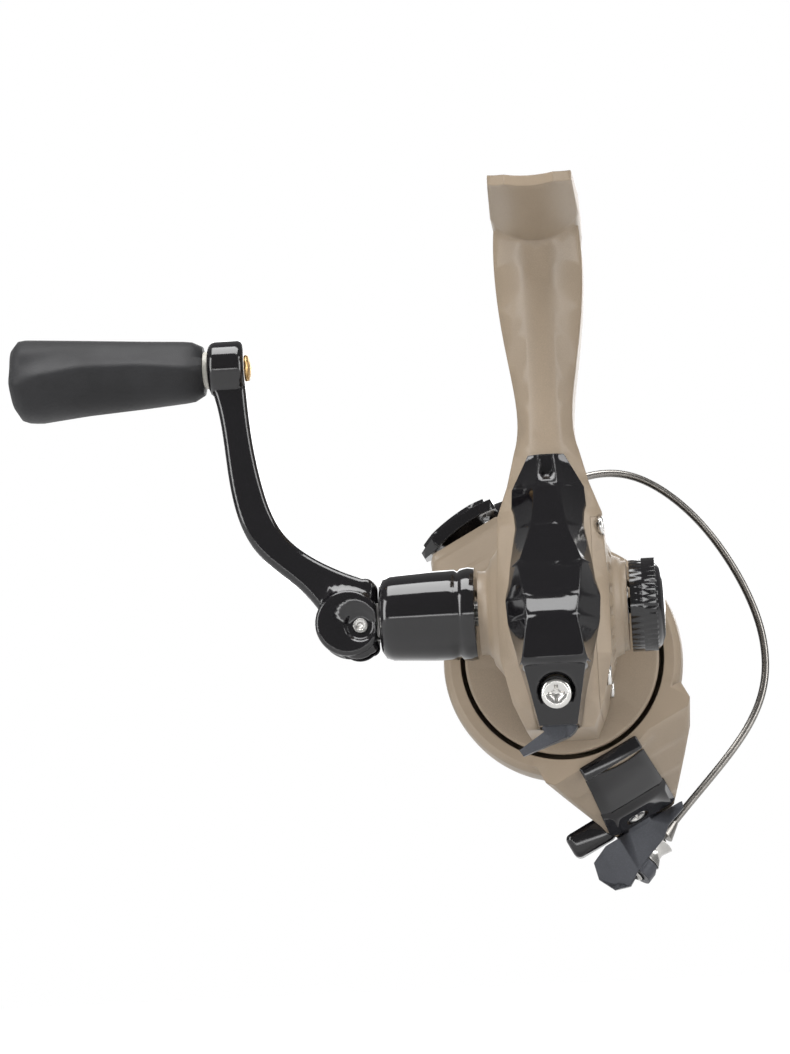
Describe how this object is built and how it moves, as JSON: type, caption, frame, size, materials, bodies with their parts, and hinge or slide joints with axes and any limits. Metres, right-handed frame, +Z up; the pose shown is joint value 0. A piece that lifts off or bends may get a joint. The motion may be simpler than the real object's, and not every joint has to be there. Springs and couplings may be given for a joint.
{
  "type": "spinning reel",
  "caption": "Fixed-spool fishing reel with a folding crank on the left, an open stem to its rod foot, a rotor with bail wire and line roller, and a front drag knob.",
  "frame": {"origin": "middle of the foot's saddle, on its hollow top, where the rod seat bears", "axes": "+Z up out of the foot into the rod, +Y forward along the rod towards its tip, +X to the right looking forward; the crank is on -X"},
  "size_m": [0.1372, 0.11, 0.1234],
  "materials": {
    "tan": "satin",
    "black_gloss": "gloss",
    "black_metal": "gloss",
    "grey_plastic": "satin",
    "soft_grip": "matte",
    "steel": "satin",
    "wire": "polished",
    "screw_steel": "polished",
    "brass": "satin",
    "aluminium": "satin",
    "rubber": "matte",
    "spool_black": "satin",
    "felt": "matte",
    "nylon": "satin"
  },
  "bodies": {
    "body": {"body_frame": "tan", "side_cover": "tan", "side_cover_screws": "screw_steel", "rear_cover": "black_gloss", "rear_cover_screw": "screw_steel", "gear_bearings": "steel", "pinion_bearing": "steel", "pinion_bush": "brass", "clutch_ring": "steel", "clutch_rollers": "steel", "clutch_plate": "steel", "clutch_plate_screws": "screw_steel", "rotor_brake_ring": "rubber", "slider_guide_rod": "steel", "oscillation_gear_axle": "steel"},
    "switch": {"anti_reverse_switch": "grey_plastic"},
    "crank": {"drive_gear": "aluminium", "oscillation_drive_pinion": "steel", "handle_sleeve": "black_metal"},
    "handle_shaft": {"handle_shaft": "steel", "handle_joint": "steel", "elbow_pin": "screw_steel"},
    "handle": {"handle_arm": "black_metal", "knob_shank": "steel", "knob_rivet": "brass", "knob_washer": "nylon"},
    "knob": {"handle_knob": "soft_grip"},
    "screw_cap": {"handle_screw_cap": "black_metal"},
    "oscillation_gear": {"oscillation_gear": "nylon"},
    "rotor": {"pinion_gear": "brass", "clutch_sleeve": "steel", "rotor": "tan", "rotor_nut": "steel", "rotor_nut_lock": "nylon", "rotor_nut_lock_screw": "screw_steel", "bail_spring": "steel", "rotor_arm_cover": "black_gloss", "rotor_arm_cover_screw": "screw_steel", "bail_stop": "black_gloss"},
    "trip_lever": {"bail_trip_lever": "steel"},
    "bail": {"bail_arm": "grey_plastic", "bail_pivot_screws": "screw_steel", "bail_wire": "wire", "bail_holder": "black_gloss", "line_roller_bush": "nylon", "line_roller_screw": "screw_steel"},
    "line_roller": {"line_roller": "screw_steel"},
    "carriage": {"main_shaft": "steel", "slider_block": "nylon", "slider_screw": "steel"},
    "spool": {"spool_sleeve": "brass", "spool_click_gear": "nylon", "spool": "spool_black", "spool_lip": "aluminium", "drag_washers": "felt", "drag_clip": "steel", "line_clip": "black_gloss"},
    "drag_knob": {"drag_knob": "black_gloss", "drag_nut": "steel", "drag_spring": "steel"}
  },
  "joints": [
    {"name": "handle_crank", "type": "hinge", "parent": "body", "child": "crank", "pos_m": [0, 0, -0.0725], "axis": [1, 0, 0], "continuous": true},
    {"name": "rotor_spin", "type": "hinge", "parent": "body", "child": "rotor", "pos_m": [0, 0, -0.0795], "axis": [0, 1, 0], "continuous": true},
    {"name": "oscillation_gear_spin", "type": "hinge", "parent": "body", "child": "oscillation_gear", "pos_m": [0, -0.00866, -0.08116], "axis": [1, 0, 0], "continuous": true},
    {"name": "spool_stroke", "type": "slide", "parent": "body", "child": "carriage", "axis": [0, 1, 0], "range_m": [-0.0055, 0.0055]},
    {"name": "spool_drag_turn", "type": "hinge", "parent": "carriage", "child": "spool", "pos_m": [0, 0.058, -0.0795], "axis": [0, 1, 0], "continuous": true},
    {"name": "drag_knob_turn", "type": "hinge", "parent": "carriage", "child": "drag_knob", "pos_m": [0, 0.07, -0.0795], "axis": [0, 1, 0], "range_deg": [-360, 360]},
    {"name": "bail_flip", "type": "hinge", "parent": "rotor", "child": "bail", "pos_m": [-0.00291, 0.047, -0.08105], "axis": [-0.4695, 0, 0.8829], "range_deg": [0, 105], "deforming": ["bail_spring"]},
    {"name": "trip_lever_slide", "type": "slide", "parent": "rotor", "child": "trip_lever", "axis": [0, -1, 0], "range_m": [0, 0.0025]},
    {"name": "line_roller_spin", "type": "hinge", "parent": "bail", "child": "line_roller", "pos_m": [0.01647, 0.04824, -0.11253], "axis": [-0.6148, -0.24, -0.7513], "continuous": true},
    {"name": "shaft_draw", "type": "slide", "parent": "crank", "child": "handle_shaft", "axis": [-1, 0, 0], "range_m": [0, 0.0044]},
    {"name": "handle_fold", "type": "hinge", "parent": "handle_shaft", "child": "handle", "pos_m": [-0.0353, 0, -0.0739], "axis": [0, 1, 0], "range_deg": [0, 50]},
    {"name": "knob_spin", "type": "hinge", "parent": "handle", "child": "knob", "pos_m": [-0.08, 0, -0.0249], "axis": [1, 0, 0], "continuous": true},
    {"name": "screw_cap_turn", "type": "hinge", "parent": "crank", "child": "screw_cap", "pos_m": [0.016, 0, -0.0725], "axis": [1, 0, 0], "range_deg": [0, 360]},
    {"name": "anti_reverse_switch_turn", "type": "hinge", "parent": "body", "child": "switch", "pos_m": [0, -0.015, -0.0937], "axis": [0, -1, 0], "range_deg": [0, 45]}
  ],
  "couplings": [
    {"joint": "rotor_spin", "follows": "handle_crank", "ratio": -5.2},
    {"joint": "oscillation_gear_spin", "follows": "handle_crank", "ratio": -0.59091},
    {"joint": "trip_lever_slide", "follows": "bail_flip", "m_per_rad": 0.0013096},
    {"joint": "shaft_draw", "follows": "handle_fold", "m_per_rad": 0.0049274}
  ]
}
